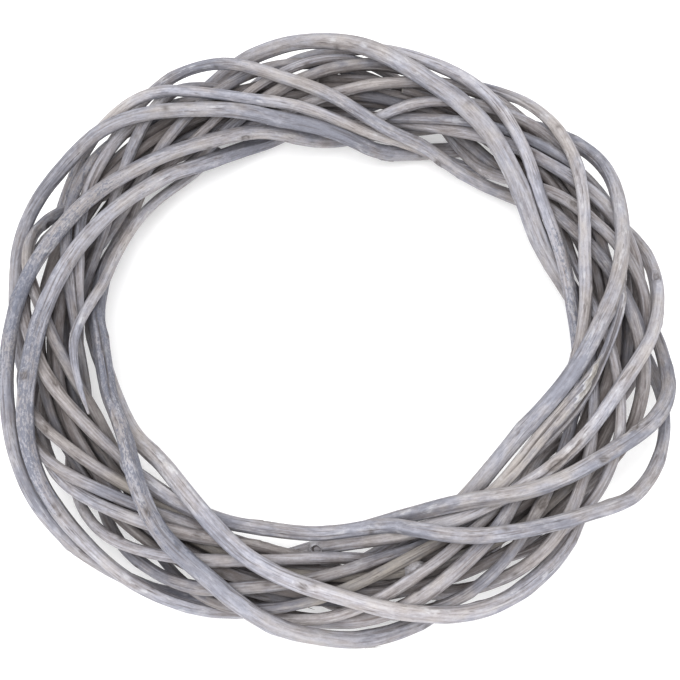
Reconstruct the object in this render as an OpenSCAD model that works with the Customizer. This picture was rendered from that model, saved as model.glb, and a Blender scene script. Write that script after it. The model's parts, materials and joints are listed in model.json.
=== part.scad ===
// Willow wreath frame: willow rods wound round each other into a ring, lying flat on its back.
// +Z is up, out of the front of the ring. The origin is under the middle of the ring, on the
// surface that it lies on.
//
// The ring is built as it is wound by hand. The core rods are bent into a hoop first, the binding
// rods twist round them one way, and the wrapping rods twist over both the other way. Each rod is
// laid on the rods that are there already, so no two of them share any space.

/* [Ring] */
// Radius from the middle of the ring to the middle of the bundle of rods
ring_radius = 125.5; // [100:0.5:180]

/* [Bundle] */
// How far the binding rods bow out from the rods under them on the outer side of the ring
binding_bow = 3; // [0:0.1:6]
// How far a rod beds down between the rods under it
bedding = 0.45; // [0:0.05:1.5]

/* [Rods] */
// Diameter of a core rod at its butt
core_rod_d = 5.6; // [4:0.1:9]
// Diameter of a binding rod at its butt
binding_rod_d = 6; // [4:0.1:9]
// Diameter of a wrapping rod at its butt
wrap_rod_d = 8; // [4:0.1:10]
// Diameter of a rod at its tip, as a share of its butt
tip_share = 0.76; // [0.5:0.01:1]
// Space left between two rods where they cross
rod_gap = 0.25; // [0.1:0.05:1]
// Radius of the curve in which a rod springs from one rod that it lies on to the next
spring_radius = 140; // [100:10:400]

/* [Hidden] */
// Sides of the bundle, as clock angles round its middle
OUT = 0;
TOP = 90;
IN = 180;
UNDER = 270;

// Angle round the ring between two points of a rod's line
line_step = 1.5;
steps_per_lap = 360 / line_step;

// Points from one drawn section of a rod to the next, and corners of a section
section_step = 3;
core_section_step = 4;
section_sides = 8;

// Least distance from the middle of the bundle to the axis of a rod: a core rod beside the one in the
// middle, a binding rod on those, and a wrapping rod on the binding rods
core_reach = core_rod_d;
binding_reach = core_reach + (core_rod_d + binding_rod_d) / 2 - bedding;
wrap_reach = binding_reach + (binding_rod_d + wrap_rod_d) / 2 - bedding;

// A rod is [butt diameter, tip diameter, least reach, stations]. A station is [angle round the ring,
// clock angle round the bundle, how far the rod bows out beyond its least reach]. The ring angle
// starts at +X and runs on past 360 where a rod does.

// Core rods: one along the middle of the bundle, the others round it, each most of a lap long and
// twisted one turn in a lap, so that they run beside each other with their butts spread round the ring
outer_cores = 5;
core_run = 345;
core_spacing = 360 / outer_cores;
core_stagger = 3 * core_spacing;
first_butt = 20;

// Binding rods, from the ring angles at which each passes the top of the bundle. Both ends are half a
// turn further on, under it.
binding_tops = [
    [5, 120, 219, 314],
    [35, 155, 251, 345],
    [75, 200, 289],
    [45, 163, 267],
    [236, 330],
    [95, 185, 278],
    [60, 138, 228],
    [300, 380, 465]
];
half_turn = 50;

// Wrapping rods, in the order in which they are wound: [share of the butt diameter, stations]
wrap_runs = [
    // Low over the front right, then over the far side
    [0.85, [[243, UNDER, 0], [274, IN, 0], [292, 143, 0], [310, 119, 0], [332, 91, 0], [343, 72, 0],
        [354, 44, 0], [368, 10, 0], [405, UNDER, 0], [443, IN, 0], [454, 158, 0], [472, 118, 0], [483, 80, 0],
        [490, 42, 3.5], [498, 12, 5.5], [510, -30, 3.5], [536, UNDER, 0]]],
    // From the middle of the front along the inner edge, then out in the widest bow of all
    [0.90, [[220, 121, 0], [232, 131, 0], [246, 143, 0], [263, 158, 2.5], [278, 156, 2.5], [290, 115, 0],
        [303, 76, 0], [316, 40, 4.5], [326, 8, 8.5], [335, -8, 11.5], [346, -28, 7.5], [374, UNDER, 0]]],
    // Over the right
    [0.85, [[300, UNDER, 0], [336, IN, 0], [353, 155, 0], [372, 126, 0], [387, 88, 0], [400, 50, 0],
        [414, 15, 2.5], [447, UNDER, 0]]],
    // Up the front right to a split end
    [0.60, [[285, UNDER, 0], [310, IN, 0], [330, 135, 0], [345, 112, 0], [361, 86, 0], [368, 75, 0]]],
    // Over the left, along the near left rim and up again to a broken end on the front right
    [0.90, [[96, UNDER, 0], [133, IN, 0], [146, 157, 0], [162, 127, 0], [179, 97, 0], [198, 58, 0],
        [207, 30, 3.5], [218, 0, 4.5], [234, -14, 4.5], [247, -45, 0], [263, UNDER, 0], [287, 190, 0],
        [307, 150, 0], [323, 138, 0], [334, 124, 0], [347, 103, 0]]],
    // Over the far left and down the left rim
    [0.95, [[60, UNDER, 0], [86, IN, 0], [105, 152, 0], [122, 112, 0], [134, 72, 0], [143, 37, 3.5],
        [156, 10, 3.5], [172, -18, 2.5], [208, UNDER, 0], [232, 210, 0]]],
    // Along the inner left and over the front, then over the far right
    [0.95, [[155, UNDER, 0], [180, 212, 0], [190, 193, 2.5], [198, 179, 4.5], [216, 167, 3.5], [237, 128, 0],
        [254, 94, 0], [271, 59, 0], [285, 23, 0], [297, -8, 4.5], [310, -30, 3.5], [335, UNDER, 0],
        [370, IN, 0], [384, 158, 0], [403, 111, 0], [421, 66, 0], [437, 35, 0], [450, 5, 0],
        [482, UNDER, 0]]],
    // The thick rod, over the far side and over the near left
    [1.15, [[352, UNDER, 0], [380, 190, 0], [390, 164, 0], [399, 146, 0], [415, 117, 0], [432, 87, 0],
        [443, 62, 3.5], [453, 34, 5.5], [464, 5, 6.5], [477, -35, 4.5], [500, UNDER, 0], [520, 228, 0],
        [532, 204, 0], [544, 176, 0], [562, 154, 0], [573, 139, 0], [583, 117, 0], [597, 82, 0],
        [609, 53, 0], [622, 12, 0], [634, -20, 3.5], [658, UNDER, 0]]],
    // Over the near right, then over the far side
    [0.90, [[246, UNDER, 0], [279, IN, 0], [297, 135, 0], [309, 103, 0], [323, 70, 0], [334, 38, 4.5],
        [345, 5, 6.5], [355, -22, 5.5], [386, UNDER, 0], [433, IN, 0], [443, 157, 0], [454, 127, 0],
        [466, 88, 0], [476, 45, 4.5], [486, 8, 6.5], [498, -28, 4.5], [526, UNDER, 0]]],
    // Over the right, over the left and out along the left rim
    [1.00, [[270, UNDER, 0], [303, IN, 0], [332, 135, 0], [351, 115, 0], [372, 76, 0], [388, 34, 4.5],
        [400, 0, 4.5], [432, UNDER, 0], [468, IN, 0], [488, 154, 0], [506, 123, 0], [522, 92, 0],
        [543, 46, 2.5], [551, 28, 3], [564, 5, 4], [575, -6, 6.5], [586, -22, 5.5], [612, UNDER, 0]]],
    // Up the inner left to a tip tucked against the thick rod
    [0.70, [[118, 250, 0], [130, 223, 2.5], [145, 207, 2.5], [158, 196, 2.5], [169, 181, 2.5], [181, 152, 0],
        [192, 128, 0], [211, 119, 0]]]
];

function last(list) = list[len(list) - 1];

// Clock angles that carry on from each other by the shorter way round
function unrolled(stations) = [
    for (i = 0, clock = stations[0][1]; i < len(stations);
         i = i + 1,
         clock = i < len(stations) ? nearest(stations[i][1], clock) : clock)
        [stations[i][0], clock, stations[i][2]]
];
function nearest(angle, to) = angle + 360 * round((to - angle) / 360);

// A curve through [x, y] points that never swings past them
function slope(points, column, i) =
    let (n = len(points) - 1,
         rise = function(a) (points[a + 1][column] - points[a][column]) / (points[a + 1][0] - points[a][0]),
         before = rise(max(i - 1, 0)),
         after = rise(min(i, n - 1)))
    before * after <= 0 ? 0 : 2 * before * after / (before + after);
function segment(points, x, i = 0) =
    i >= len(points) - 2 || x < points[i + 1][0] ? i : segment(points, x, i + 1);
function curve(points, column, x) =
    let (i = segment(points, x),
         width = points[i + 1][0] - points[i][0],
         t = (x - points[i][0]) / width,
         m0 = slope(points, column, i) * width,
         m1 = slope(points, column, i + 1) * width)
    (2 * t ^ 3 - 3 * t ^ 2 + 1) * points[i][column] + (t ^ 3 - 2 * t ^ 2 + t) * m0
    + (3 * t ^ 2 - 2 * t ^ 3) * points[i + 1][column] + (t ^ 3 - t ^ 2) * m1;

core_rods = concat(
    [[core_rod_d, core_rod_d * tip_share, 0, [[0, OUT, 0], [core_run, OUT, 0]]]],
    [for (k = [0:outer_cores - 1])
        let (butt = k * core_stagger + first_butt,
             clock = k * (core_spacing - core_stagger))
            [core_rod_d, core_rod_d * tip_share, core_reach,
             [[butt, clock, 0], [butt + core_run, clock - core_run, 0]]]]
);

binding_rods = [
    for (tops = binding_tops)
        [binding_rod_d, binding_rod_d * tip_share, binding_reach,
         concat([[tops[0] - half_turn, UNDER - 360, 0]],
                [for (k = [0:len(tops) - 1])
                    let (quarter = k > 0 ? (tops[k] - tops[k - 1]) / 4 : half_turn / 2)
                        each [[tops[k] - quarter, OUT + 360 * k, binding_bow],
                              [tops[k], TOP + 360 * k, 0]]],
                [[last(tops) + half_turn, UNDER + 360 * (len(tops) - 1), 0]])]
];

wrap_rods = [
    for (run = wrap_runs)
        [wrap_rod_d * run[0], wrap_rod_d * run[0] * tip_share, wrap_reach, unrolled(run[1])]
];

rods = concat(core_rods, binding_rods, wrap_rods);

function numbered(name, count) = [for (k = [1:count]) str(name, k)];

// A laid rod is [index of its first point, points, radii]
function outward(ring, clock) =
    [cos(clock) * cos(ring), cos(clock) * sin(ring), sin(clock)];
function middle(ring) = ring_radius * [cos(ring), sin(ring), 0];

// Distance along a line at which a ball of the rod clears a ball of radius r at q
function clears(q, line, reach) =
    let (along = q * line, off = reach * reach - q * q + along * along)
    off > 0 ? along + sqrt(off) : 0;

// Distance from the middle at which a rod clears all those laid before it, from the points of each
// that lie up to crossing_reach points to either side, on this lap or another
crossing_reach = 3;
function within_lap(index) = index - steps_per_lap * floor(index / steps_per_lap);
function seat(index, radius, origin, line, laid) = max([
    0,
    for (rod = laid)
        for (k = [-crossing_reach:crossing_reach])
            let (m = within_lap(index - rod[0] + k))
                if (m < len(rod[1]))
                    clears(rod[1][m] - origin, line, radius + rod[2][m] + rod_gap)
]);

// The distances a rod keeps from the middle when it springs over the high points of its bed
dip = (ring_radius * line_step * PI / 180) ^ 2 / (2 * spring_radius);
span = 16;
function sprung(bed) = [
    for (i = [0:len(bed) - 1])
        max([for (k = [max(0, i - span):min(len(bed) - 1, i + span)]) bed[k] - dip * (k - i) ^ 2])
];
function eased(line, times) = times == 0 ? line : eased([
    for (i = [0:len(line) - 1])
        (line[max(i - 1, 0)] + 2 * line[i] + line[min(i + 1, len(line) - 1)]) / 4
], times - 1);
ease_passes = 12;

function lay(rod, laid) =
    let (stations = rod[3],
         first = ceil(stations[0][0] / line_step),
         count = floor(last(stations)[0] / line_step) - first + 1,
         clocks = [for (i = [0:count - 1]) curve(stations, 1, (first + i) * line_step)],
         radii = [for (i = [0:count - 1]) (rod[0] + (rod[1] - rod[0]) * i / (count - 1)) / 2],
         lines = [for (i = [0:count - 1]) outward((first + i) * line_step, clocks[i])],
         bed = [for (i = [0:count - 1])
             max(rod[2] + curve(stations, 2, (first + i) * line_step),
                 seat(first + i, radii[i], middle((first + i) * line_step), lines[i], laid))],
         reach = eased(sprung(bed), ease_passes))
    [first,
     [for (i = [0:count - 1])
         middle((first + i) * line_step) + (reach[i] + dip * ease_passes / 2) * lines[i]],
     radii];

function wound(count) = count == 0 ? [] :
    let (laid = wound(count - 1))
    concat(laid, [lay(rods[count - 1], laid)]);

laid = wound(len(rods));
lowest = min([for (rod = laid) for (i = [0:len(rod[1]) - 1]) rod[1][i].z - rod[2][i]]);
function extent(axis, sign) =
    max([for (rod = laid) for (i = [0:len(rod[1]) - 1]) sign * rod[1][i][axis] + rod[2][i]]);
seat_shift = [(extent(0, -1) - extent(0, 1)) / 2, (extent(1, -1) - extent(1, 1)) / 2, -lowest];

// One rod, as sections of section_sides corners swept along its line, closed by a cap at each end
module rod(index, step) {
    points = laid[index][1];
    radii = laid[index][2];
    count = floor((len(points) - 1) / step) + 1;
    rings = [
        for (k = [0:count - 1])
            let (i = k * step,
                 along = points[min(i + 1, len(points) - 1)] - points[max(i - 1, 0)],
                 side = cross(along, [0, 0, 1]) / norm(cross(along, [0, 0, 1])),
                 up = cross(side, along) / norm(along))
                for (c = [0:section_sides - 1])
                    let (turn = 360 * c / section_sides)
                        points[i] + radii[i] * (cos(turn) * side + sin(turn) * up)
    ];
    ends = [points[0], points[(count - 1) * step]];
    first_end = len(rings);
    walls = [
        for (k = [0:count - 2]) for (c = [0:section_sides - 1])
            let (a = k * section_sides + c,
                 b = k * section_sides + (c + 1) % section_sides)
                for (face = [[a, b, b + section_sides], [a, b + section_sides, a + section_sides]]) face
    ];
    last_ring = (count - 1) * section_sides;
    caps = [
        for (c = [0:section_sides - 1])
            let (d = (c + 1) % section_sides)
                for (face = [[first_end, d, c], [first_end + 1, last_ring + c, last_ring + d]]) face
    ];
    translate(seat_shift) polyhedron(concat(rings, ends), concat(walls, caps), convexity = 10);
}

module core_rod(k) { color("dimgray") rod(k, core_section_step); }
module binding_rod(k) { color("gray") rod(len(core_rods) + k, section_step); }
module wrapping_rod(k) { color("silver") rod(len(core_rods) + len(binding_rods) + k, section_step); }

for (k = [0:len(core_rods) - 1]) core_rod(k);
for (k = [0:len(binding_rods) - 1]) binding_rod(k);
for (k = [0:len(wrap_rods) - 1]) wrapping_rod(k);
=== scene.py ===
"""Wreath frame of whitewashed willow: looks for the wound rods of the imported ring.

Every rod of the frame is remade here as a natural shoot along the same line: not quite round,
swollen and kinked at its buds, grooved along its length, and cut or torn at its ends.
"""

import json

from math import atan2, cos, pi, radians, sin
from types import SimpleNamespace

import bmesh
import bpy
import numpy as np
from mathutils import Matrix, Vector


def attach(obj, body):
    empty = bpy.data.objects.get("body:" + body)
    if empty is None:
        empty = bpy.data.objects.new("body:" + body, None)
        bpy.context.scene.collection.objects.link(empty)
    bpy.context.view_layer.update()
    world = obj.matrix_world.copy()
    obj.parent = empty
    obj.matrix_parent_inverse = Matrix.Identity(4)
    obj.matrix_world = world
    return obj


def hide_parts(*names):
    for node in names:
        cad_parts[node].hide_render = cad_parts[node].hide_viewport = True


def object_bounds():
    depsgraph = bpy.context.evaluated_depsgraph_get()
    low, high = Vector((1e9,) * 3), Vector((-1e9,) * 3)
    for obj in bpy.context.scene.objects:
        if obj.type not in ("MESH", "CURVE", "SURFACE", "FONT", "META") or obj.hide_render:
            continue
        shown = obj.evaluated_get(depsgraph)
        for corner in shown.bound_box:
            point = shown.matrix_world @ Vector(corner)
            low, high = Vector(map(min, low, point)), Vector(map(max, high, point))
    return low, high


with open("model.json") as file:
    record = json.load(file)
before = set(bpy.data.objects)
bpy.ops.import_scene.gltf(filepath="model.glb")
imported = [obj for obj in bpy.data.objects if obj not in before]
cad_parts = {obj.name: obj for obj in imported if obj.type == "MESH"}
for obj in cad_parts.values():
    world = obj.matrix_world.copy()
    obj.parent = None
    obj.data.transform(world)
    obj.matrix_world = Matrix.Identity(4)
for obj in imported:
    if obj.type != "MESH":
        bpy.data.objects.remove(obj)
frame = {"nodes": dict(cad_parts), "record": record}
cad_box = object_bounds()

MM = 0.001
TURN = 2 * pi
UP = np.array([0, 0, 1.0])
SHOWN = np.array([0, -0.48, 0.88])  # the side that shows when the ring lies on a table

# ---------------------------------------------------------------------------------------------
# Lines of the rods, read from the frame
# ---------------------------------------------------------------------------------------------

FRAME_SIDES = 8  # corners of a rod's section in the frame


def rod_sections(node):
    """The middle and the radius of each section of a rod in the frame, from butt to tip."""
    bm = bmesh.new()
    bm.from_mesh(frame["nodes"][node].data)
    bmesh.ops.remove_doubles(bm, verts=bm.verts, dist=MM / 1000)
    first = next(v for v in bm.verts if len(v.link_edges) == FRAME_SIDES)
    layer, seen, layers = [first], {first}, []
    while layer:
        layers.append(np.array([v.co for v in layer]))
        layer = {e.other_vert(v) for v in layer for e in v.link_edges} - seen
        seen |= layer
        layer = list(layer)
    bm.free()
    rings = [ring for ring in layers if len(ring) == FRAME_SIDES]
    middles = np.array([ring.mean(0) for ring in rings])
    radii = np.array([np.linalg.norm(r - m, axis=1).mean() for r, m in zip(rings, middles)])
    if radii[0] < radii[-1]:
        middles, radii = middles[::-1], radii[::-1]
    return middles, radii


def smooth_line(middles, radii, spacing):
    """Points about spacing apart on a smooth curve through the middles, with their radii."""
    last = len(middles) - 1
    slopes = np.gradient(middles, axis=0)
    points, sizes = [], []
    for i in range(last):
        p0, p1, m0, m1 = middles[i], middles[i + 1], slopes[i], slopes[i + 1]
        steps = max(2, int(round(np.linalg.norm(p1 - p0) / spacing)))
        for t in np.arange(steps) / steps:
            h = (2 * t**3 - 3 * t**2 + 1, t**3 - 2 * t**2 + t, 3 * t**2 - 2 * t**3, t**3 - t**2)
            points.append(h[0] * p0 + h[1] * m0 + h[2] * p1 + h[3] * m1)
            sizes.append(radii[i] * (1 - t) + radii[i + 1] * t)
    return np.array(points + [middles[last]]), np.array(sizes + [radii[last]])


def rolling_frames(points):
    """A direction along the line at each point, and two square to it that never twist."""
    along = np.gradient(points, axis=0)
    along /= np.linalg.norm(along, axis=1)[:, None]
    side = np.cross(along[0], (0, 0, 1))
    sides = []
    for t in along:
        side = side - side.dot(t) * t
        side /= np.linalg.norm(side)
        sides.append(side)
    sides = np.array(sides)
    return along, sides, np.cross(along, sides)


def outwards(turn, side, up):
    """The direction away from a line at a turn round it."""
    return np.cos(turn) * side + np.sin(turn) * up


def ring_circle():
    """Middle and radius of the circle that the straightest core rod lies on."""
    line, _ = rod_sections("core_rod_1")
    x, y = line[:, 0], line[:, 1]
    fit = np.linalg.lstsq(np.stack([2 * x, 2 * y, np.ones(len(x))], 1), x**2 + y**2, rcond=None)[0]
    return np.array([fit[0], fit[1], line[:, 2].mean()]), (fit[2] + fit[0] ** 2 + fit[1] ** 2) ** 0.5


RING_MIDDLE, RING_RADIUS = ring_circle()


SKIN_MARGIN = 1.2 * MM  # depth inside the box of the frame at which bumps start to be pressed in
# Painted shade: rods nearer the bundle's middle than LIT_REACH are painted darker, fully so at DARK_DEPTH
# under it
LIT_REACH = 19 * MM  # distance from the bundle's middle at which rods lie in the open
DARK_DEPTH = 12 * MM  # depth under that at which a rod is fully hidden


def into_box(points):
    """Points pressed in where they stand proud of the box of the frame."""
    low, high = (np.array(corner) for corner in cad_box)
    over = points - (high - SKIN_MARGIN)
    points = np.where(over > 0, high - SKIN_MARGIN * np.exp(-over / SKIN_MARGIN), points)
    under = (low + SKIN_MARGIN) - points
    return np.where(under > 0, low + SKIN_MARGIN * np.exp(-under / SKIN_MARGIN), points)


def painted_recess_shade(points, normals):
    """How far each point of the skin is hidden inside the bundle, from 0 to 1: the mask for the shade
    painted into its recesses.
    """
    flat = points - RING_MIDDLE
    spoke = flat * (1, 1, 0)
    from_axis = np.linalg.norm(spoke, axis=1)
    out = flat - spoke * (RING_RADIUS / from_axis)[:, None]
    reach = np.linalg.norm(out, axis=1)
    facing = (out * normals).sum(1) / np.maximum(reach, MM)
    depth = np.clip((LIT_REACH - reach) / DARK_DEPTH, 0, 1)
    # Painted shade, mostly by its depth, and a little more where it faces inwards
    return np.clip(0.75 * depth + 0.3 * np.clip(0.35 - facing, 0, 1), 0, 1)


# ---------------------------------------------------------------------------------------------
# Surfaces of bark and bare wood
# ---------------------------------------------------------------------------------------------

# What the bark material reads at each point of a surface, each from 0 to 1, or -1 to 1 for ridge
MARKS = ("bare", "scar", "chalk", "ridge", "stain", "tone", "warmth")
SHARP_EDGE = radians(55)
CAP_SHARES = (0.7, 0.25)  # widths of the rings that close the end of a tube, as shares of its rim
PITH = 0.6  # how dark the middle of a cut end is

# Marks on the faces that close a tube: wood cut across, the inside of a hollow painted dark as shade, and
# washed wood
CUT_FACE = {"bare": 0.7, "scar": 0.0, "chalk": 0.0, "ridge": 0.0}
SHADED_HOLLOW_FACE = {"bare": 0.0, "scar": 1.0, "chalk": 0.0, "ridge": 0.0}
WASHED_FACE = {"bare": 0.0, "scar": 0.1, "chalk": 0.9, "ridge": 0.0}


class Surface:
    """Closed tubes gathered into one mesh, with their grain and marks."""

    def __init__(self):
        self.points, self.grain, self.faces = [], [], []
        self.marks = {name: [] for name in MARKS}
        self.count = 0

    def add_tube(self, rows, grain, marks, dish=0.0, face=CUT_FACE):
        """A tube through rows of corners, closed at both ends, with the tip's end hollowed by dish."""
        sides = rows.shape[1]
        inwards = rows[-2].mean(0) - rows[-1].mean(0)
        inwards *= dish / np.linalg.norm(inwards)
        butt_rings = [self.cap_ring(rows[0], share) for share in reversed(CAP_SHARES)]
        tip_rings = [self.cap_ring(rows[-1], share) + (1 - share) * inwards for share in CAP_SHARES]
        rings = np.concatenate([butt_rings, rows, tip_rings])
        lines = np.concatenate(
            [[grain[0] * (share, share, 1) for share in reversed(CAP_SHARES)]]
            + [grain]
            + [[grain[-1] * (share, share, 1) for share in CAP_SHARES]]
        )
        middles = [rows[0].mean(0), rows[-1].mean(0) + inwards]
        first, total = self.count, len(rings) * sides
        for i in range(len(rings) - 1):
            for k in range(sides):
                a, b = first + i * sides + k, first + i * sides + (k + 1) % sides
                self.faces.append((a, b, b + sides, a + sides))
        for k in range(sides):
            a, b = k, (k + 1) % sides
            last = first + total - sides
            self.faces.append((first + b, first + a, first + total))
            self.faces.append((last + a, last + b, first + total + 1))
        self.points += [rings.reshape(-1, 3), middles]
        self.grain += [lines.reshape(-1, 3), [grain[0].mean(0), grain[-1].mean(0)]]
        for name, values in self.marks.items():
            given = np.broadcast_to(marks.get(name, 0.0), rows.shape[:2])
            rim = face.get(name)
            butt, tip = (given[row] if rim is None else np.full(sides, rim) for row in (0, -1))
            pith = PITH if name == "scar" else butt.mean()
            values += [np.tile(butt, 2), given.ravel(), np.tile(tip, 2), [pith, pith]]
        self.count += total + 2

    @staticmethod
    def cap_ring(rim, share):
        """The rim of an end drawn in towards its middle."""
        middle = rim.mean(0)
        return middle + share * (rim - middle)

    def finish(self, name):
        """The object made of all the tubes."""
        points = into_box(np.concatenate(self.points))
        mesh = bpy.data.meshes.new(name)
        mesh.from_pydata(points.tolist(), [], self.faces)
        mesh.update()
        mesh.polygons.foreach_set("use_smooth", [True] * len(mesh.polygons))
        mesh.set_sharp_from_angle(angle=SHARP_EDGE)
        grain = np.concatenate(self.grain).astype(np.float32)
        mesh.attributes.new("grain", "FLOAT_VECTOR", "POINT").data.foreach_set("vector", grain.ravel())
        values = {key: np.concatenate(parts) for key, parts in self.marks.items()}
        # The mask for the shade painted deep in the bundle, kept on the mesh
        values["recess_shade"] = painted_recess_shade(points, np.array([v.normal for v in mesh.vertices]))
        for key, value in values.items():
            layer = mesh.attributes.new(key, "FLOAT", "POINT")
            layer.data.foreach_set("value", value.astype(np.float32))
        obj = bpy.data.objects.new(name, mesh)
        bpy.context.scene.collection.objects.link(obj)
        return obj


def corner_turns(sides):
    """The direction of each corner of a tube's section."""
    return np.arange(sides) / sides * TURN


def add_sliver(surface, start, heading, curl, long, thick, marks):
    """A thin flat sliver of wood that tapers to a point."""
    sections, sides, flatness = 7, 6, 0.5
    t = np.linspace(0, 1, sections)[:, None]
    line = start + long * (t * heading + t**2 * curl)
    _, side, up = rolling_frames(line)
    turn = corner_turns(sides)[None, :, None]
    width = thick * (1 - 0.9 * t)[..., None]
    across = np.cos(turn) * side[:, None] + flatness * np.sin(turn) * up[:, None]
    height = np.broadcast_to(t[..., None] * long, (sections, sides, 1))
    grain = np.concatenate([width * across[..., :2], height], 2)
    surface.add_tube(line[:, None] + width * across, grain + start, marks)


# ---------------------------------------------------------------------------------------------
# Shape of a natural shoot
# ---------------------------------------------------------------------------------------------


def slow_waves(rng, length_along, waves, sizes):
    """A wandering value along the rod: sines with the given wavelengths and sizes."""
    total = np.zeros(len(length_along))
    for wave, size in zip(waves, sizes):
        wave *= rng.uniform(0.8, 1.25)
        total += size * np.sin(TURN * (length_along / wave + rng.uniform()))
    return total


def turns_from(angle, facing):
    """The turn from one direction round a rod to others, from -pi to pi."""
    return (angle - facing + pi) % TURN - pi


def bump(x):
    """A smooth hump, 1 at 0 and next to nothing past 2."""
    return np.exp(-(x**2))


# Rods that stand out from the rest: dark and blue at 0 to pale at 1, and cool at 0 to beige at 1
TONES = {"wrapping_rod_6": 0.1, "wrapping_rod_8": 0.3}
WARMTHS = {"wrapping_rod_6": 0.0, "wrapping_rod_8": 0.1, "wrapping_rod_4": 0.0}

# Marks on the shown side of single rods, by their share of the length from the butt.
# A knot is (share, half length, half width) in mm, and a chalky patch (share, half length).
KNOTS = {
    "wrapping_rod_1": [(0.229, 4.5, 2.0)],
    "binding_rod_1": [(0.888, 2.8, 1.7)],
    "binding_rod_2": [(0.142, 2.6, 1.6)],
    "wrapping_rod_9": [(0.262, 2.2, 1.3)],
    "wrapping_rod_5": [(0.499, 0.9, 0.8)],
    "wrapping_rod_7": [(0.3, 2.4, 1.4)],
}
CHALKY = {
    "wrapping_rod_8": [(0.302, 3.0), (0.278, 3.6)],
    "wrapping_rod_9": [(0.655, 2.4)],
}
# Stretches as (share where it starts, share where it ends): cracks, and blue-grey or beige wood
CRACKS = {
    "wrapping_rod_4": [(0.45, 0.93), (0.6, 0.9)],
    "wrapping_rod_1": [(0.18, 0.26)],
    "wrapping_rod_5": [(0.88, 0.96)],
    "wrapping_rod_8": [(0.62, 0.7)],
}
STAINED = {
    "wrapping_rod_1": (0.86, 0.97),
    "wrapping_rod_5": (0.32, 0.5),
    "wrapping_rod_7": (0.56, 0.68),
    "wrapping_rod_8": (0.58, 0.82),
    "wrapping_rod_10": (0.66, 0.82),
    "binding_rod_4": (0.42, 0.56),
}
BEIGE = {
    "wrapping_rod_5": (0.84, 1.1),
    "binding_rod_1": (0.665, 0.705),
    "binding_rod_6": (0.8, 0.9),
    "core_rod_2": (0.55, 0.9),
}

# Ends that aren't cut straight across, with how bare the wood is at a tear
TORN = {"wrapping_rod_4": 0.12, "wrapping_rod_5": 0.6}
WHIPS = ("wrapping_rod_11",)
SLANTED_BUTTS = ("wrapping_rod_2",)
TEAR = 24 * MM  # length of a torn end
WHIP = 45 * MM  # length over which a grown tip thins out
SLANT = 14 * MM  # length of a slanting cut

# Metres of rod to each scattered mark of a kind
KNOT_EVERY = 0.28
CHALK_EVERY = 0.1
CRACK_EVERY = 0.13
FLAT_EVERY = 0.07
STRIP_EVERY = 0.2
BUD_TURN = radians(137)  # from one bud to the next, round the shoot
FLAT_WINDING = 8  # radians that a flat winds round the rod in a metre
DEEP_CRACK = 0.9 * MM
SPLINTERS = 9  # slivers of wood at each tear
GRAIN_SPREAD = 40  # metres of grain within which each rod's own starts, so that no two look alike


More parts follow.
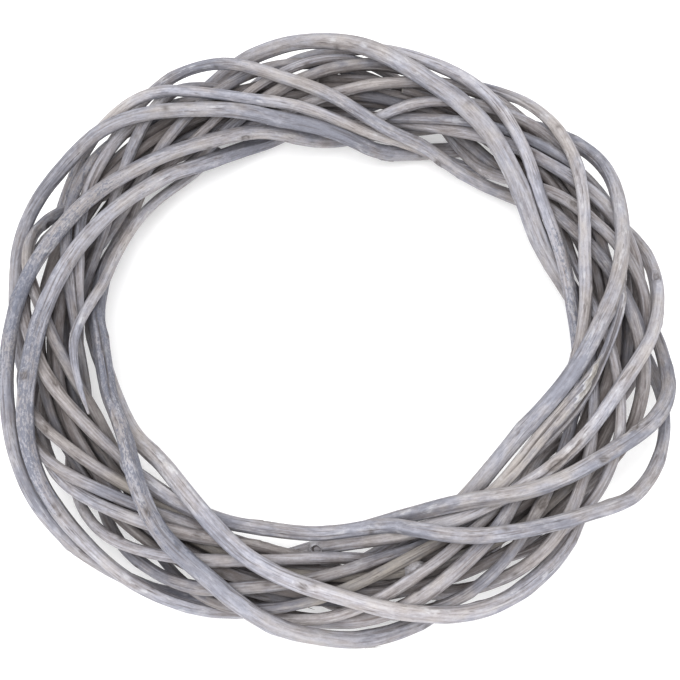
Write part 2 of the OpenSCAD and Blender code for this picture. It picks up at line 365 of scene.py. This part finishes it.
class Shoot:
    """One willow shoot laid along a rod's line in the frame."""

    def __init__(self, node, seed, sides, spacing):
        self.node = node
        self.rng = np.random.default_rng(seed)
        middles, radii = rod_sections(node)
        self.points, self.radii = smooth_line(middles, radii, spacing)
        steps = np.linalg.norm(np.diff(self.points, axis=0), axis=1)
        self.s = np.concatenate([[0], np.cumsum(steps)])
        self.length = self.s[-1]
        self.angle = corner_turns(sides)[None, :]
        self.place_buds()
        self.bend()
        self.along, self.side, self.up = rolling_frames(self.points)
        self.place_marks()

    def place_buds(self):
        """Buds stand in a spiral up the shoot, closer together towards its tip."""
        rng = self.rng
        at, angle = rng.uniform(8, 25) * MM, rng.uniform(0, TURN)
        self.buds = []
        while at < self.length - 6 * MM:
            self.buds.append((at, angle, rng.uniform(0.5, 1.0)))
            at += rng.uniform(26, 62) * MM * (1.15 - 0.4 * at / self.length)
            angle += BUD_TURN + rng.uniform(-0.4, 0.4)

    def bend(self):
        """Small wanderings of a grown shoot, with a slight kink at each bud."""
        _, side, up = rolling_frames(self.points)
        for direction in (side, up):
            offset = slow_waves(self.rng, self.s, (0.13, 0.06, 0.031), (0.3 * MM, 0.14 * MM, 0.05 * MM))
            for at, _, size in self.buds:
                offset += self.rng.uniform(-0.25, 0.25) * MM * size * bump((self.s - at) / (9 * MM))
            self.points = self.points + offset[:, None] * direction

    def section_at(self, share):
        """The number of the section at this share of the length."""
        return int(np.searchsorted(self.s, share * self.length))

    def shown_spot(self, share):
        """Distance from the butt, and direction round the rod, of a place on the shown side."""
        i = self.section_at(share)
        return self.s[i], atan2(SHOWN.dot(self.up[i]), SHOWN.dot(self.side[i]))

    def any_spot(self):
        """A distance from the butt and a direction round the rod, at random."""
        return self.rng.uniform(0, self.length), self.rng.uniform(0, TURN)

    def place_marks(self):
        """Knots and chalky patches as (at, facing, long, wide), cracks as (from, to, facing, depth)."""
        rng = self.rng
        self.knots = []
        for share, long, wide in KNOTS.get(self.node, ()):
            self.knots.append((*self.shown_spot(share), long * MM, wide * MM))
        for _ in range(int(self.length / KNOT_EVERY)):
            self.knots.append((*self.any_spot(), rng.uniform(1.6, 3.2) * MM, rng.uniform(1.0, 1.7) * MM))
        self.chalky = []
        for share, long in CHALKY.get(self.node, ()):
            self.chalky.append((*self.shown_spot(share), long * MM, 0.7 * long * MM))
        for _ in range(int(self.length / CHALK_EVERY)):
            self.chalky.append((*self.any_spot(), rng.uniform(2, 8) * MM, rng.uniform(0.4, 1.1) * MM))
        self.cracks = []
        for start, end in CRACKS.get(self.node, ()):
            _, facing = self.shown_spot((start + end) / 2)
            facing += rng.uniform(-0.5, 0.5)
            self.cracks.append((start * self.length, end * self.length, facing, DEEP_CRACK))
        for _ in range(int(self.length / CRACK_EVERY)):
            at, facing = self.any_spot()
            self.cracks.append((at, at + rng.uniform(14, 55) * MM, facing, rng.uniform(0.25, 0.6) * MM))

    def stretch(self, ends):
        """1 along a stretch of the rod, falling off smoothly to 0 past its ends."""
        if ends is None:
            return np.zeros((len(self.s), 1))
        share = self.s / self.length
        middle, half = (ends[0] + ends[1]) / 2, (ends[1] - ends[0]) / 2
        return (1 / (1 + np.exp((np.abs(share - middle) - half) / (0.12 * half))))[:, None]

    def away(self, at, facing, long, wide):
        """How far each point of the skin is from a mark, in the mark's own sizes."""
        across = turns_from(self.angle, facing) * self.radii[:, None] / wide
        return np.hypot((self.s[:, None] - at) / long, across)

    def out_of_round(self):
        """The section's shape: a slow swelling, a few lobes, and fine ridges that wander round."""
        rng, angle = self.rng, self.angle
        shape = 1 + slow_waves(rng, self.s, (0.16, 0.07, 0.031), (0.03, 0.025, 0.012))[:, None]
        for lobes, low, high in ((2, 0.05, 0.11), (3, 0.015, 0.04)):
            size = rng.uniform(low, high) * (1 + slow_waves(rng, self.s, (0.15, 0.06), (0.5, 0.4)))[:, None]
            drift = slow_waves(rng, self.s, (0.4, 0.17), (1.2, 0.4))[:, None]
            shape = shape + size * np.cos(lobes * angle - drift + rng.uniform(0, TURN))
        for ridges in range(5, 13):
            size = 0.011 * (1 + slow_waves(rng, self.s, (0.08, 0.035), (0.6, 0.4)))[:, None]
            drift = slow_waves(rng, self.s, (0.12, 0.05), (1.5, 0.7))[:, None]
            shape = shape + size * np.cos(ridges * angle - drift + rng.uniform(0, TURN))
        return shape

    def skin(self):
        """Distance of the skin from the middle, and the marks on it."""
        rng = self.rng
        reach = self.radii[:, None] * self.out_of_round()
        for _ in range(int(self.length / FLAT_EVERY)):
            reach = self.shave(reach)
        scar, chalk = np.zeros_like(reach), np.zeros_like(reach)
        reach, scar = self.swell_buds(reach, scar)
        ridge = self.ridges(reach)
        reach, scar, chalk = self.sink_knots(reach, scar, chalk)
        reach, scar = self.open_cracks(reach, scar)
        for at, facing, long, wide in self.chalky:
            chalk = np.maximum(chalk, 0.8 * bump(self.away(at, facing, long, wide)))
        tone = TONES.get(self.node, rng.uniform(0.2, 0.8))
        warmth = WARMTHS.get(self.node, rng.uniform(0.0, 0.6)) + self.stretch(BEIGE.get(self.node))
        stain = self.stretch(STAINED.get(self.node)) * (1 - 0.5 * np.clip(warmth, 0, 1))
        marks = dict(bare=np.zeros_like(reach), scar=np.clip(scar, 0, 1), chalk=chalk, ridge=ridge)
        return reach, dict(marks, tone=tone, warmth=warmth, stain=stain)

    def swell_buds(self, reach, scar):
        """A swelling all round at each bud, the bud itself, and the leaf scar under it."""
        swelling, bud, dent = 0.14 * MM, 0.42 * MM, 0.35 * MM
        for at, bud_angle, size in self.buds:
            past = self.s[:, None] - at
            turn = turns_from(self.angle, bud_angle)
            raised = size * bump(past / (4.2 * MM)) * (swelling + bud * bump(turn / 0.55))
            sunk = size * dent * bump((past - 1.6 * MM) / (0.9 * MM)) * bump(turn / 0.3)
            reach = reach + raised - sunk
            scar = np.maximum(scar, size * bump((past - 1.2 * MM) / (1.5 * MM)) * bump(turn / 0.42))
        return reach, scar

    def sink_knots(self, reach, scar, chalk):
        """A knot is a raised ring round a dark hollow, with wash caught outside the ring."""
        rim, swelling, hollow = 0.4 * MM, 0.3 * MM, 0.7 * MM
        for at, facing, long, wide in self.knots:
            away = self.away(at, facing, long, wide)
            raised = rim * bump((away - 1.15) / 0.4) + swelling * bump(away / 2.2)
            reach = reach + raised - hollow * np.clip(1.1 - away, 0, 1)
            rings = 0.75 + 0.35 * np.cos(9 * away)
            scar = np.maximum(scar, np.clip(1.6 - away, 0, 1) * rings)
            chalk = np.maximum(chalk, 0.6 * bump((away - 1.8) / 0.35))
        return reach, scar, chalk

    def open_cracks(self, reach, scar):
        """A crack is widest half way along, wanders a little, and lifts its lips."""
        half_width, lip = 0.42 * MM, 0.95 * MM
        for start, end, facing, depth in self.cracks:
            share = np.clip((self.s[:, None] - start) / (end - start), 0, 1)
            open_here = np.sqrt(4 * share * (1 - share))
            wander = slow_waves(self.rng, self.s, (0.07, 0.023), (0.16, 0.06))[:, None]
            across = turns_from(self.angle, facing + wander) * self.radii[:, None]
            reach = reach - depth * open_here * bump(across / half_width)
            reach = reach + 0.2 * depth * open_here * bump((np.abs(across) - lip) / (0.4 * MM))
            scar = np.maximum(scar, 1.4 * depth / MM * open_here * bump(across / (0.4 * MM)))
        return reach, scar

    def ridges(self, reach):
        """Crests of the section towards 1, and grooves towards -1."""
        step = TURN / reach.shape[1]
        rise = 2 * reach - np.roll(reach, 1, axis=1) - np.roll(reach, -1, axis=1)
        return np.tanh(rise / (step**2 * self.radii[:, None]) / 2)

    def shave(self, reach):
        """A long shallow flat where the shoot was split or rubbed against its neighbours."""
        rng = self.rng
        at, half, facing = rng.uniform(0, self.length), rng.uniform(20, 70) * MM, rng.uniform(0, TURN)
        past = self.s[:, None] - at
        depth = rng.uniform(0.08, 0.26) * np.clip(1.4 * (1 - (past / half) ** 2), 0, 1)
        across = np.maximum(np.cos(self.angle - facing - FLAT_WINDING * past), 0.05)
        return np.minimum(reach, self.radii[:, None] * (1 - depth) / across)

    def mesh(self):
        """The finished shoot as an object."""
        reach, marks = self.skin()
        turn = self.angle[..., None]
        out = outwards(turn, self.side[:, None], self.up[:, None])
        rows = self.points[:, None] + reach[..., None] * out
        radii = self.radii[:, None, None]
        height = np.broadcast_to(self.s[:, None, None], (*reach.shape, 1))
        grain = np.concatenate([radii * np.cos(turn), radii * np.sin(turn), height], 2)
        grain = grain + (0, 0, self.rng.uniform(0, GRAIN_SPREAD))
        self.shape_butt(rows, marks)
        self.shape_tip(rows, marks)
        surface = Surface()
        surface.add_tube(rows, grain, marks)
        if self.node in TORN:
            self.splinter_tip(surface, marks)
        self.fray(surface, marks, reach)
        return surface.finish(self.node + "_shoot")

    def shape_butt(self, rows, marks):
        """The thick end, cut straight or slanting."""
        if self.node in SLANTED_BUTTS:
            self.slant_end(rows, marks, self.s, SLANT, SHOWN, 0.0)
        else:
            self.cut_end(rows, marks, 0, 1)

    def shape_tip(self, rows, marks):
        """The thin end, as it grew, torn, or cut."""
        if self.node in WHIPS:
            thin = 1 - 0.75 * np.clip(1 - (self.length - self.s) / WHIP, 0, 1) ** 1.5
            rows[:] = self.points[:, None] + thin[:, None, None] * (rows - self.points[:, None])
        elif self.node in TORN:
            spoke = (self.points[-1] - RING_MIDDLE) * (1, 1, 0)
            facing = 0.9 * spoke / np.linalg.norm(spoke) + 0.45 * UP
            self.slant_end(rows, marks, self.length - self.s, TEAR, facing, TORN[self.node])
        else:
            self.cut_end(rows, marks, -1, -1)

    def cut_end(self, rows, marks, row, inwards):
        """Secateurs leave a slanting end."""
        slant = self.rng.uniform(0.15, 0.4) * self.radii[row]
        lean = self.rng.uniform(0, TURN)
        shift = slant * (1 + np.cos(self.angle[0] - lean))
        rows[row] += inwards * shift[:, None] * self.along[row]
        marks["bare"][row] = 0.6

    def slant_end(self, rows, marks, from_end, long, facing, torn):
        """A long slanting face that brings an end to a point, smooth where cut, jagged where torn."""
        for i in np.nonzero(from_end < long)[0]:
            left, along, radius = from_end[i] / long, self.along[i], self.radii[i]
            high = facing - facing.dot(along) * along
            high /= np.linalg.norm(high)
            across = np.cross(along, high)
            out = rows[i] - self.points[i]
            up, wide = out @ high, out @ across
            # A tear's edge follows two waves of unlike length
            jag = np.sin(5.1 * wide / radius + 17 * left) + 0.6 * np.sin(13 * wide / radius + 31 * left)
            limit = radius * (-0.7 + 1.8 * left**0.8 + (0.14 * jag if torn else 0))
            cut = up > limit
            marks["bare"][i][cut] = torn
            marks["scar"][i][cut] *= 0.3
            if torn:
                edge = 1.5 * bump((up - limit) / (0.22 * radius))
                groove = 0.8 * bump((up - limit - 0.9 * radius) / (0.3 * radius))
                marks["chalk"][i] = np.maximum(marks["chalk"][i], edge)
                marks["scar"][i] = np.maximum(marks["scar"][i], groove)
            narrow = 1 - 0.75 * (1 - left) ** 2.5
            lifted = np.where(cut, limit, up) + 0.3 * radius * (1 - left)
            rows[i] = self.points[i] + lifted[:, None] * high + (wide * narrow)[:, None] * across

    def splinter_tip(self, surface, marks):
        """Slivers of wood left standing along the tear."""
        rng = self.rng
        for _ in range(SPLINTERS):
            i = self.section_at(1 - rng.uniform(0.1, 0.9) * TEAR / self.length)
            out = outwards(rng.uniform(0, TURN), self.side[i], self.up[i])
            start = self.points[i] + out * self.radii[i] * rng.uniform(0.2, 0.6) - 2 * MM * self.along[i]
            curl = out * rng.uniform(-0.05, 0.2)
            looks = dict(bare=rng.uniform(0.4, 1) * TORN[self.node], tone=marks["tone"], warmth=0.6)
            long, thick = rng.uniform(5, 10) * MM, rng.uniform(0.3, 0.7) * MM
            add_sliver(surface, start, self.along[i], curl, long, thick, looks)

    def fray(self, surface, marks, reach):
        """Short strips of bark that have lifted from the skin."""
        rng, clear_of_ends = self.rng, 20
        looks = dict(bare=0.25, tone=marks["tone"], warmth=0.4, chalk=0.4)
        for _ in range(int(self.length / STRIP_EVERY)):
            i = int(rng.integers(clear_of_ends, len(self.s) - clear_of_ends))
            k = int(rng.integers(0, self.angle.size))
            out = outwards(self.angle[0, k], self.side[i], self.up[i])
            heading = self.along[i] * rng.choice((-1, 1)) + 0.12 * out
            start = self.points[i] + out * (reach[i, k] - 0.3 * MM)
            curl = rng.uniform(-0.05, 0.12) * out + rng.uniform(-0.1, 0.1) * np.cross(out, self.along[i])
            long, thick = rng.uniform(3, 8) * MM, rng.uniform(0.25, 0.5) * MM
            add_sliver(surface, start, heading, curl, long, thick, looks)


def branch_stub(name, shoot, share, radius, long, hollow):
    """What is left of a side branch cut off close to the rod."""
    sections, sides = 14, 20
    i, rng = shoot.section_at(share), shoot.rng
    out = SHOWN - SHOWN.dot(shoot.along[i]) * shoot.along[i]
    heading = out / np.linalg.norm(out) + 0.45 * shoot.along[i]
    t = np.linspace(0, 1, sections)[:, None]
    line = shoot.points[i] + t * (shoot.radii[i] + long) * heading
    along, side, up = rolling_frames(line)
    turn = corner_turns(sides)
    flare = 1 + 0.7 * np.exp(-6 * np.clip(t - 0.45, 0, 1))
    size = radius * flare * (1 + 0.06 * np.cos(2 * turn + 1) + 0.05 * np.cos(5 * turn + 9 * t))
    rows = line[:, None] + size[..., None] * outwards(turn[:, None], side[:, None], up[:, None])
    rows[-1] += (0.35 * radius * np.cos(turn - 2))[:, None] * along[-1]
    height = np.broadcast_to((t * long)[..., None], (sections, sides, 1))
    grain = np.concatenate([size[..., None] * np.stack([np.cos(turn), np.sin(turn)], 1), height], 2)
    grain = grain + (0, 0, rng.uniform(0, GRAIN_SPREAD))
    scar = 0.5 * bump((t - 0.5) / 0.15)
    marks = dict(scar=scar, chalk=0.9, bare=0.0, tone=0.9, warmth=0.0)
    # A hollow end is painted with the dark scar colour as shade inside the hole
    face = SHADED_HOLLOW_FACE if hollow > 1 else WASHED_FACE
    surface = Surface()
    surface.add_tube(rows, grain, marks, hollow * radius, face)
    return surface.finish(name)


# ---------------------------------------------------------------------------------------------
# Whitewashed bark
# ---------------------------------------------------------------------------------------------


class Nodes:
    """Short ways to add and join the nodes of one tree."""

    def __init__(self, tree):
        self.tree = tree

    def add(self, kind, settings=(), **inputs):
        """A new node with these settings, and values or links on its inputs."""
        node = self.tree.nodes.new(kind)
        for name, value in dict(settings).items():
            setattr(node, name, value)
        for name, value in inputs.items():
            self.feed(node.inputs[name.replace("_", " ")], value)
        return node

    def feed(self, socket, value):
        """A link from another node's output, or a plain value."""
        if isinstance(value, bpy.types.NodeSocket):
            self.tree.links.new(value, socket)
        else:
            socket.default_value = value

    def math(self, operation, a, b=0.0, clamp=False):
        """One sum on two values."""
        node = self.add("ShaderNodeMath", {"operation": operation, "use_clamp": clamp})
        for socket, value in zip(node.inputs, (a, b)):
            self.feed(socket, value)
        return node.outputs[0]

    def mix(self, share, a, b, blend="MIX"):
        """Two colours mixed: the colour sockets of a Mix node are its seventh and eighth."""
        node = self.add("ShaderNodeMix", {"data_type": "RGBA", "blend_type": blend})
        self.feed(node.inputs[0], share)
        self.feed(node.inputs[6], a)
        self.feed(node.inputs[7], b)
        return node.outputs[2]

    def range(self, value, low, high, to_low=0.0, to_high=1.0):
        """A value's way from low to high, eased at both ends."""
        node = self.add("ShaderNodeMapRange", {"interpolation_type": "SMOOTHSTEP"})
        for socket, v in zip(node.inputs, (value, low, high, to_low, to_high)):
            self.feed(socket, v)
        return node.outputs[0]

    def streaks(self, vector, across, along, detail=2.0, rough=0.55):
        """Noise whose patches are this many metres across the rod and along it."""
        scaled = self.add("ShaderNodeVectorMath", {"operation": "MULTIPLY"})
        self.feed(scaled.inputs[0], vector)
        scaled.inputs[1].default_value = (1 / across, 1 / across, 1 / along)
        noise = self.add("ShaderNodeTexNoise", Scale=1.0, Detail=detail, Roughness=rough)
        self.feed(noise.inputs["Vector"], scaled.outputs[0])
        return noise.outputs["Fac"]

    def swing(self, value, size):
        """Noise brought to swing about 0."""
        return self.math("MULTIPLY", self.math("SUBTRACT", value, 0.5), size)


# Linear colours. Where there are two, the first lies between the streaks and the second in them.
BARK = (0.085, 0.070, 0.067, 1), (0.235, 0.204, 0.198, 1)
COOL_WASH = (0.257, 0.26, 0.302, 1), (0.378, 0.377, 0.418, 1)
WARM_WASH = (0.275, 0.251, 0.244, 1), (0.405, 0.38, 0.37, 1)
BARE_WOOD = (0.17, 0.148, 0.125, 1), (0.62, 0.585, 0.53, 1)
BLUE_STAIN = (0.135, 0.142, 0.178, 1)
DEEP_STAIN = (0.09, 0.098, 0.13, 1)
BEIGE_WOOD = (0.31, 0.28, 0.24, 1)
DRIED_CHALK = (0.53, 0.53, 0.55, 1)
PIT = (0.07, 0.058, 0.055, 1)
CREASE = (0.085, 0.074, 0.074, 1)
SCAR = (0.07, 0.058, 0.052, 1)


def bark_sockets(tree):
    """Named inputs and outputs of the bark."""
    for name, kind, start in (
        ("Place", "NodeSocketVector", None),
        ("Tone", "NodeSocketFloat", 0.5),
        ("Warmth", "NodeSocketFloat", 0.5),
        ("Bare", "NodeSocketFloat", 0.0),
        ("Scar", "NodeSocketFloat", 0.0),
        ("Chalk", "NodeSocketFloat", 0.0),
        ("Ridge", "NodeSocketFloat", 0.0),
        ("Stain", "NodeSocketFloat", 0.0),
        # Recess_Shade: how deep in the bundle a point lies, for the painted shade there
        ("Recess_Shade", "NodeSocketFloat", 0.0),
        ("Wash", "NodeSocketFloat", 0.6),
        ("Brightness", "NodeSocketFloat", 1.0),
    ):
        socket = tree.interface.new_socket(name, in_out="INPUT", socket_type=kind)
        if start is not None:
            socket.default_value = start
    for name, kind in (
        ("Color", "NodeSocketColor"),
        ("Roughness", "NodeSocketFloat"),
        ("Height", "NodeSocketFloat"),
    ):
        tree.interface.new_socket(name, in_out="OUTPUT", socket_type=kind)


def bark_noises(n, place):
    """The noises that the bark is made of, from hair-fine fibres to slow changes along a rod."""
    return SimpleNamespace(
        fibres=n.streaks(place, 0.5 * MM, 11 * MM, 4.0, 0.65),
        streaks=n.streaks(place, 1.3 * MM, 30 * MM, 3.0, 0.6),
        mottle=n.streaks(place, 1.6 * MM, 4.5 * MM, 4.0, 0.7),
        blotches=n.streaks(place, 6 * MM, 17 * MM, 3.0, 0.6),
        drift=n.streaks(place, 26 * MM, 70 * MM, 1.0),
        far_drift=n.streaks(place, 45 * MM, 45 * MM, 0.0),
        chips=n.streaks(place, 2.4 * MM, 6.5 * MM, 3.0, 0.6),
        patches=n.streaks(place, 4 * MM, 9 * MM, 2.0),
        dashes=n.streaks(place, 0.7 * MM, 7 * MM, 1.0),
        creases=n.streaks(place, 0.75 * MM, 26 * MM, 1.0),
        speckle=n.streaks(place, 0.8 * MM, 1.5 * MM, 3.0, 0.7),
    )


def washed_bark(n, noise, given):
    """Brown bark under a thin wash, cool or warm: its colour, and how well the wash covers it."""
    bark, cool, warm = (n.mix(noise.streaks, *pair) for pair in (BARK, COOL_WASH, WARM_WASH))
    warmer = n.math("ADD", noise.drift, n.swing(noise.patches, 0.7))
    warmer = n.math("ADD", warmer, n.math("MULTIPLY", given["Warmth"], 0.3))
    wash = n.mix(n.range(warmer, 0.42, 0.92), cool, warm)
    # Painted shade: the wash thins deep in the bundle, so the dark bark shows there
    cover = n.math("SUBTRACT", given["Wash"], n.math("MULTIPLY", given["Recess_Shade"], 0.5))
    cover = n.math("ADD", cover, n.math("MULTIPLY", given["Ridge"], 0.18))
    for value, size in (
        (noise.blotches, 1.3),
        (noise.mottle, 1.1),
        (noise.fibres, 1.5),
        (noise.streaks, 0.8),
    ):
        cover = n.math("ADD", cover, n.swing(value, size))
    cover = n.math("MAXIMUM", n.math("MINIMUM", cover, 1.0), 0.0)
    return n.mix(cover, bark, wash), cover


def stained(n, noise, given, colour):
    """Thin blue-grey stain in places, deep speckled stain and beige wood along some stretches."""
    thin = n.math("ADD", noise.drift, n.swing(noise.mottle, 0.35))
    thin = n.math("ADD", thin, n.math("MULTIPLY", given["Tone"], 0.2))
    thin = n.math("ADD", thin, n.swing(noise.patches, 0.4))
    colour = n.mix(n.range(thin, 0.36, 0.6, 0.6, 0.0), colour, BLUE_STAIN)
    deep = n.math("ADD", n.swing(noise.mottle, 2.0), n.swing(noise.speckle, 2.2))
    deep = n.math("ADD", given["Stain"], deep)
    deep = n.math("ADD", deep, n.swing(noise.blotches, 1.2))
    colour = n.mix(n.math("MULTIPLY", n.range(deep, 0.62, 1.2), 0.8), colour, DEEP_STAIN)
    beige = n.math("ADD", n.swing(noise.blotches, 1.4), n.swing(noise.streaks, 0.8))
    beige = n.math("ADD", given["Warmth"], beige)
    return n.mix(n.range(beige, 0.8, 1.9, 0.0, 0.6), colour, BEIGE_WOOD)


def chalk_cover(n, noise, given):
    """Where thick wash dried chalky."""
    thick = n.math("MULTIPLY", n.range(noise.chips, 0.54, 0.72), n.range(noise.far_drift, 0.42, 0.62))
    ragged = n.math("ADD", n.swing(noise.mottle, 0.9), n.swing(noise.fibres, 0.6))
    ragged = n.math("ADD", given["Chalk"], ragged)
    thick = n.math("MAXIMUM", thick, n.range(ragged, 0.4, 0.95))
    # Painted shade: no chalk deep in the bundle
    return n.math("MULTIPLY", thick, n.math("SUBTRACT", 1.0, given["Recess_Shade"], clamp=True))


def whitewash_group():
    """Thin grey-white wash over brown bark: colour, roughness and relief at a place on a rod."""
    tree = bpy.data.node_groups.new("whitewashed_bark", "ShaderNodeTree")
    bark_sockets(tree)
    n = Nodes(tree)
    given = tree.nodes.new("NodeGroupInput").outputs
    noise = bark_noises(n, given["Place"])

    colour, cover = washed_bark(n, noise, given)
    colour = stained(n, noise, given, colour)
    thick = chalk_cover(n, noise, given)
    pits = n.math("MULTIPLY", n.range(noise.dashes, 0.63, 0.74), n.range(noise.blotches, 0.6, 0.42))
    creases = n.math("MULTIPLY", n.range(noise.creases, 0.6, 0.7), n.range(noise.drift, 0.62, 0.42))
    for share, strength, ink in (
        (thick, 0.5, DRIED_CHALK),
        (pits, 0.6, PIT),
        (creases, 0.5, CREASE),
        (given["Scar"], 0.8, SCAR),
        (given["Bare"], 0.9, n.mix(noise.fibres, *BARE_WOOD)),
    ):
        colour = n.mix(n.math("MULTIPLY", share, strength, clamp=True), colour, ink)

    # Rods differ a little in brightness, and those deep in the bundle are painted darker as shade
    level = n.math("ADD", 0.8, n.math("MULTIPLY", given["Tone"], 0.4))
    level = n.math("MULTIPLY", given["Brightness"], level)
    shade = n.math("SUBTRACT", 1.02, n.math("MULTIPLY", given["Recess_Shade"], 0.36))
    level = n.math("MULTIPLY", level, n.math("ADD", shade, n.swing(noise.speckle, 0.5)))
    grey = n.add("ShaderNodeCombineColor", Red=level, Green=level, Blue=level).outputs[0]
    colour = n.mix(1.0, colour, grey, "MULTIPLY")

    height = n.math("MULTIPLY", noise.fibres, 0.6)
    for value, size in (
        (noise.streaks, 0.4),
        (noise.mottle, 0.45),
        (pits, -0.35),
        (thick, 0.2),
        (creases, -0.5),
    ):
        height = n.math("ADD", height, n.math("MULTIPLY", value, size))

    out = tree.nodes.new("NodeGroupOutput")
    n.feed(out.inputs["Color"], colour)
    n.feed(out.inputs["Roughness"], n.range(cover, 0.0, 1.0, 0.66, 0.92))
    n.feed(out.inputs["Height"], height)
    return tree


WHITEWASH = whitewash_group()


def willow(name, wash, brightness, relief):
    """Willow bark with this much wash on it, this bright, and with this much relief."""
    material = bpy.data.materials.new(name)
    material.use_nodes = True
    tree = material.node_tree
    tree.nodes.clear()
    n = Nodes(tree)
    bark = n.add("ShaderNodeGroup", {"node_tree": WHITEWASH}, Wash=wash, Brightness=brightness)
    for socket, attribute, output in (
        ("Place", "grain", "Vector"),
        ("Tone", "tone", "Fac"),
        ("Warmth", "warmth", "Fac"),
        ("Bare", "bare", "Fac"),
        ("Scar", "scar", "Fac"),
        ("Chalk", "chalk", "Fac"),
        ("Ridge", "ridge", "Fac"),
        ("Stain", "stain", "Fac"),
        ("Recess_Shade", "recess_shade", "Fac"),
    ):
        read = n.add("ShaderNodeAttribute", {"attribute_name": attribute})
        n.feed(bark.inputs[socket], read.outputs[output])
    raised = n.add("ShaderNodeBump", Strength=relief, Distance=0.5 * MM, Height=bark.outputs["Height"])
    shader = n.add(
        "ShaderNodeBsdfPrincipled",
        Base_Color=bark.outputs["Color"],
        Roughness=bark.outputs["Roughness"],
        Normal=raised.outputs["Normal"],
        Specular_IOR_Level=0.3,
    )
    output = n.add("ShaderNodeOutputMaterial")
    n.feed(output.inputs["Surface"], shader.outputs["BSDF"])
    return material


MATERIALS = {
    # The core rods carry a thinner wash over brown bark, and their lower brightness is painted shade for
    # their place deep in the bundle
    "willow_core": willow("willow_core", wash=0.5, brightness=0.8, relief=0.9),
    "willow_binding": willow("willow_binding", wash=0.68, brightness=0.95, relief=0.8),
    "willow_wrapping": willow("willow_wrapping", wash=0.78, brightness=1.0, relief=0.7),
}

# ---------------------------------------------------------------------------------------------
# The rods
# ---------------------------------------------------------------------------------------------

FINE = dict(sides=40, spacing=1.1 * MM)  # rods that show
PLAIN = dict(sides=24, spacing=2 * MM)  # rods deep in the bundle
# Side branches as (rod, share of its length, radius and height in mm, depth of the hollow in radii)
STUBS = (
    ("wrapping_rod_1", 0.075, 2.1, 1.5, 1.4),
    ("core_rod_2", 0.7645, 2.6, 3.0, 0.2),
)

slots = {part["node"]: part["material_slot"] for part in frame["record"]["subparts"]}
for seed, node in enumerate(sorted(frame["nodes"])):
    detail = PLAIN if node.startswith("core") else FINE
    shoot = Shoot(node, seed, **detail)
    piece = shoot.mesh()
    piece.data.materials.append(MATERIALS[slots[node]])
    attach(piece, "root")
    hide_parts(node)
    for number, (rod, share, radius, long, hollow) in enumerate(STUBS):
        if rod == node:
            stub = branch_stub(f"branch_stub_{number + 1}", shoot, share, radius * MM, long * MM, hollow)
            stub.data.materials.append(MATERIALS["willow_wrapping"])
            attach(stub, "root")

# ---------------------------------------------------------------------------------------------
# Studio
# ---------------------------------------------------------------------------------------------


def make_floor(half):
    """White paper that glows a little, so that shadows on it stay pale."""
    mesh = bpy.data.meshes.new("floor")
    corners = [(-half, -half, 0), (half, -half, 0), (half, half, 0), (-half, half, 0)]
    mesh.from_pydata(corners, [], [(0, 1, 2, 3)])
    floor = bpy.data.objects.new("floor", mesh)
    bpy.context.scene.collection.objects.link(floor)
    material = bpy.data.materials.new("white_paper")
    material.use_nodes = True
    shader = material.node_tree.nodes["Principled BSDF"]
    shader.inputs["Base Color"].default_value = (0.8, 0.8, 0.8, 1)
    shader.inputs["Roughness"].default_value = 0.9
    shader.inputs["Emission Color"].default_value = (1, 1, 1, 1)
    shader.inputs["Emission Strength"].default_value = 0.25
    mesh.materials.append(material)


def make_light(name, place, size, watts, target):
    """A round soft light turned to its target."""
    light = bpy.data.lights.new(name, "AREA")
    light.shape, light.size, light.energy = "DISK", size, watts
    lamp = bpy.data.objects.new(name, light)
    lamp.location = place
    lamp.rotation_euler = (target - Vector(place)).to_track_quat("-Z", "Y").to_euler()
    bpy.context.scene.collection.objects.link(lamp)


def make_camera(middle):
    """Looks down on the ring from the front."""
    elevation, distance = radians(61.4), 0.650
    camera_data = bpy.data.cameras.new("camera")
    camera_data.sensor_width = 36
    camera_data.lens = 77.03
    camera_data.shift_x, camera_data.shift_y = 0.0094, -0.0369
    camera = bpy.data.objects.new("camera", camera_data)
    back = Vector((0, -cos(elevation), sin(elevation)))
    camera.location = middle + distance * back
    camera.rotation_euler = back.to_track_quat("Z", "Y").to_euler()
    bpy.context.scene.collection.objects.link(camera)
    bpy.context.scene.camera = camera


def light_the_room(strength):
    """Even white light from all round."""
    world = bpy.data.worlds.new("studio")
    world.use_nodes = True
    world.node_tree.nodes["Background"].inputs["Color"].default_value = (1, 1, 1, 1)
    world.node_tree.nodes["Background"].inputs["Strength"].default_value = strength
    bpy.context.scene.world = world


middle = Vector(RING_MIDDLE)
make_floor(half=4.0)
light_the_room(strength=1.1)
make_light("softbox", (-0.16, -0.5, 1.25), size=1.1, watts=20.5, target=middle)
make_camera(middle)
bpy.context.scene.view_settings.view_transform = "Standard"
